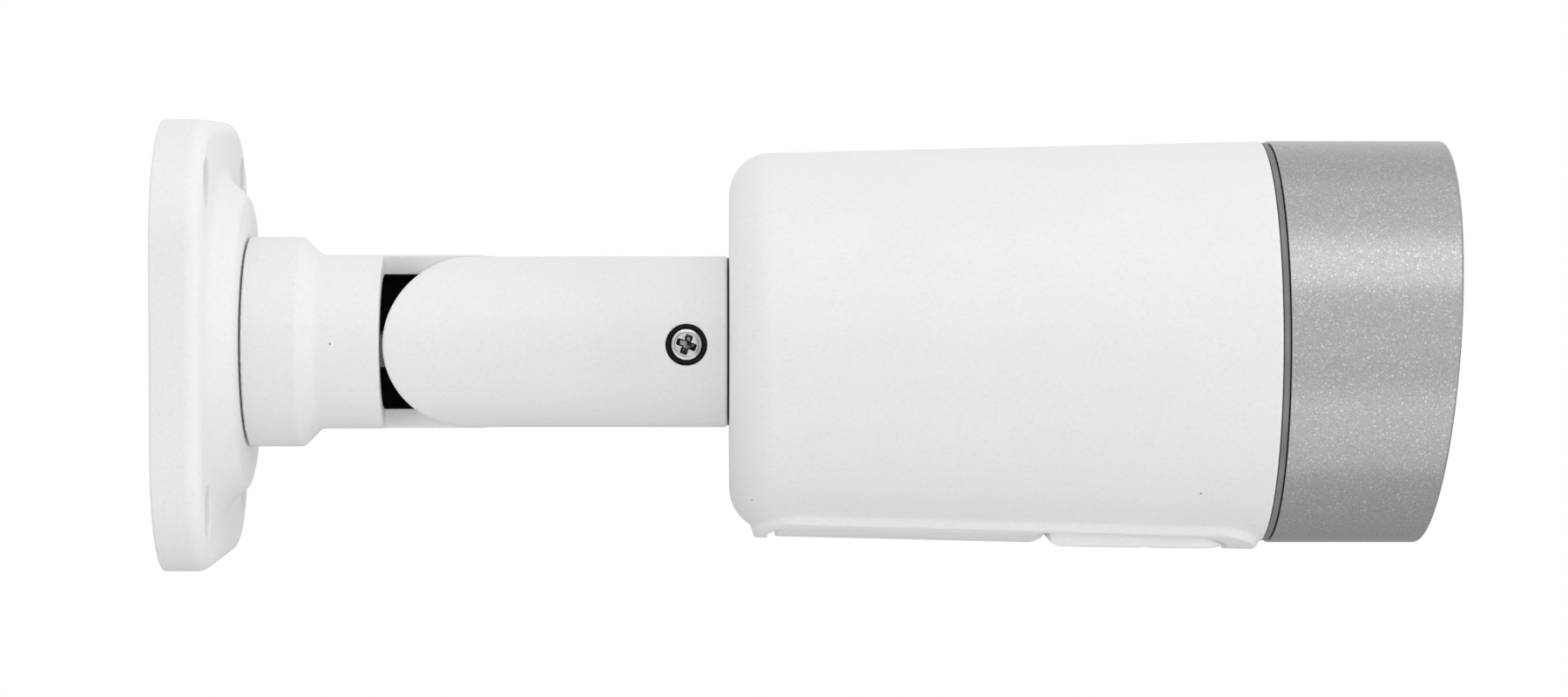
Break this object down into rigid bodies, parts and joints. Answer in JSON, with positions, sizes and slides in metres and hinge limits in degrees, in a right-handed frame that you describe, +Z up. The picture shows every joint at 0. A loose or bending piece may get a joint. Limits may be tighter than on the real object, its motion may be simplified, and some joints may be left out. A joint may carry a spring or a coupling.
{
  "type": "security camera",
  "caption": "Wall-mounted bullet security camera: round white head with a silver hood and raised frame below, lapped tilt knuckle, pan collar and rounded square wall plate.",
  "frame": {"origin": "centre of the wall plate's back face", "axes": "+X out of the wall along the pan axis, the arm and the head; +Z up; +Y to the left of somebody who faces the lens"},
  "size_m": [0.2393, 0.0836, 0.0836],
  "materials": {
    "white_coat": "white textured powder coat on die-cast aluminium",
    "silver_coat": "silver metallic flake paint on die-cast aluminium",
    "bare_alloy": "plain die-cast aluminium",
    "bright_screw": "nickel-plated steel",
    "steel": "plain stainless steel",
    "brass": "turned brass",
    "black_plastic": "black moulded plastic",
    "white_nylon": "natural nylon",
    "black_rubber": "black silicone rubber",
    "clear_glass": "clear toughened glass",
    "lens_glass": "coated optical glass",
    "filter_glass": "blue-green filter glass",
    "led_lens": "dark clear resin",
    "circuit_board": "green solder mask",
    "chip": "black chip resin"
  },
  "bodies": {
    "wall_mount": {"base_plate": "white_coat", "pan_friction_ring": "white_nylon"},
    "collar": {"pan_collar": "white_coat", "pan_retainer": "steel", "pan_wave_washer": "steel", "pan_retainer_screw_1": "steel", "pan_retainer_screw_2": "steel", "pan_retainer_screw_3": "steel", "knuckle_friction_washer": "white_nylon"},
    "arm": {"arm_tube": "white_coat", "knuckle_bolt": "bright_screw", "knuckle_bolt_washer": "steel", "knuckle_insert": "brass", "lock_screw": "bright_screw"},
    "head": {"tail_spigot": "bare_alloy", "spigot_o_ring": "black_rubber", "spigot_screw_1": "steel", "spigot_screw_2": "steel", "spigot_screw_3": "steel", "cable_gland": "black_rubber", "housing": "white_coat", "bottom_trim": "white_coat", "front_seal": "black_rubber", "bezel": "silver_coat", "glass_gasket": "black_rubber", "front_glass": "clear_glass", "glass_retainer": "black_plastic", "lens_shroud": "black_plastic", "led_board": "circuit_board", "ir_led_1": "led_lens", "ir_led_2": "led_lens", "ir_led_3": "led_lens", "ir_led_4": "led_lens", "light_sensor": "led_lens", "lens_light_shield": "black_rubber", "lens_barrel": "black_plastic", "front_lens": "lens_glass", "lens_mount": "black_plastic", "zoom_motor": "steel", "focus_motor": "steel", "ir_cut_housing": "black_plastic", "sensor_board": "circuit_board", "image_sensor": "chip", "chassis": "bare_alloy", "main_board": "circuit_board", "main_processor": "chip", "heat_spreader": "bare_alloy", "power_board": "circuit_board", "io_board": "circuit_board", "sd_socket": "steel"},
    "zoom_ring": {"zoom_ring": "black_plastic"},
    "zoom_pinion": {"zoom_pinion": "white_nylon"},
    "focus_ring": {"focus_ring": "black_plastic"},
    "focus_pinion": {"focus_pinion": "white_nylon"},
    "ir_cut_filter": {"ir_cut_filter": "filter_glass"},
    "reset_button": {"reset_button": "white_nylon"},
    "service_cover": {"service_cover": "white_coat", "service_cover_seal": "black_rubber", "service_cover_screw_1": "bright_screw", "service_cover_screw_2": "bright_screw"}
  },
  "joints": [
    {"name": "pan", "type": "hinge", "parent": "wall_mount", "child": "collar", "pos_m": [0, 0, 0], "axis": [1, 0, 0], "range_deg": [-180, 180]},
    {"name": "tilt", "type": "hinge", "parent": "collar", "child": "arm", "pos_m": [0.0564, 0, 0], "axis": [0, 1, 0], "range_deg": [-90, 90]},
    {"name": "roll", "type": "hinge", "parent": "arm", "child": "head", "pos_m": [0.0966, 0, 0], "axis": [1, 0, 0], "range_deg": [-180, 180]},
    {"name": "zoom", "type": "hinge", "parent": "head", "child": "zoom_ring", "pos_m": [0.206, 0, 0], "axis": [1, 0, 0], "range_deg": [0, 70]},
    {"name": "zoom_drive", "type": "hinge", "parent": "head", "child": "zoom_pinion", "pos_m": [0.206, -0.01527, 0.01527], "axis": [1, 0, 0], "range_deg": [-350, 0]},
    {"name": "focus", "type": "hinge", "parent": "head", "child": "focus_ring", "pos_m": [0.199, 0, 0], "axis": [1, 0, 0], "range_deg": [0, 60]},
    {"name": "focus_drive", "type": "hinge", "parent": "head", "child": "focus_pinion", "pos_m": [0.199, 0.01527, 0.01527], "axis": [1, 0, 0], "range_deg": [-300, 0]},
    {"name": "day_night", "type": "slide", "parent": "head", "child": "ir_cut_filter", "axis": [0, 1, 0], "range_m": [0, 0.0125]},
    {"name": "reset_press", "type": "slide", "parent": "head", "child": "reset_button", "axis": [0, 0, 1], "range_m": [0, 0.00025], "stiffness_N_per_m": 2000, "springref_m": -0.0002},
    {"name": "cover_lift_off", "type": "slide", "parent": "head", "child": "service_cover", "axis": [0, 0, -1], "range_m": [0, 0.012]}
  ],
  "couplings": [
    {"joint": "zoom_drive", "follows": "zoom", "ratio": -5},
    {"joint": "focus_drive", "follows": "focus", "ratio": -5}
  ]
}
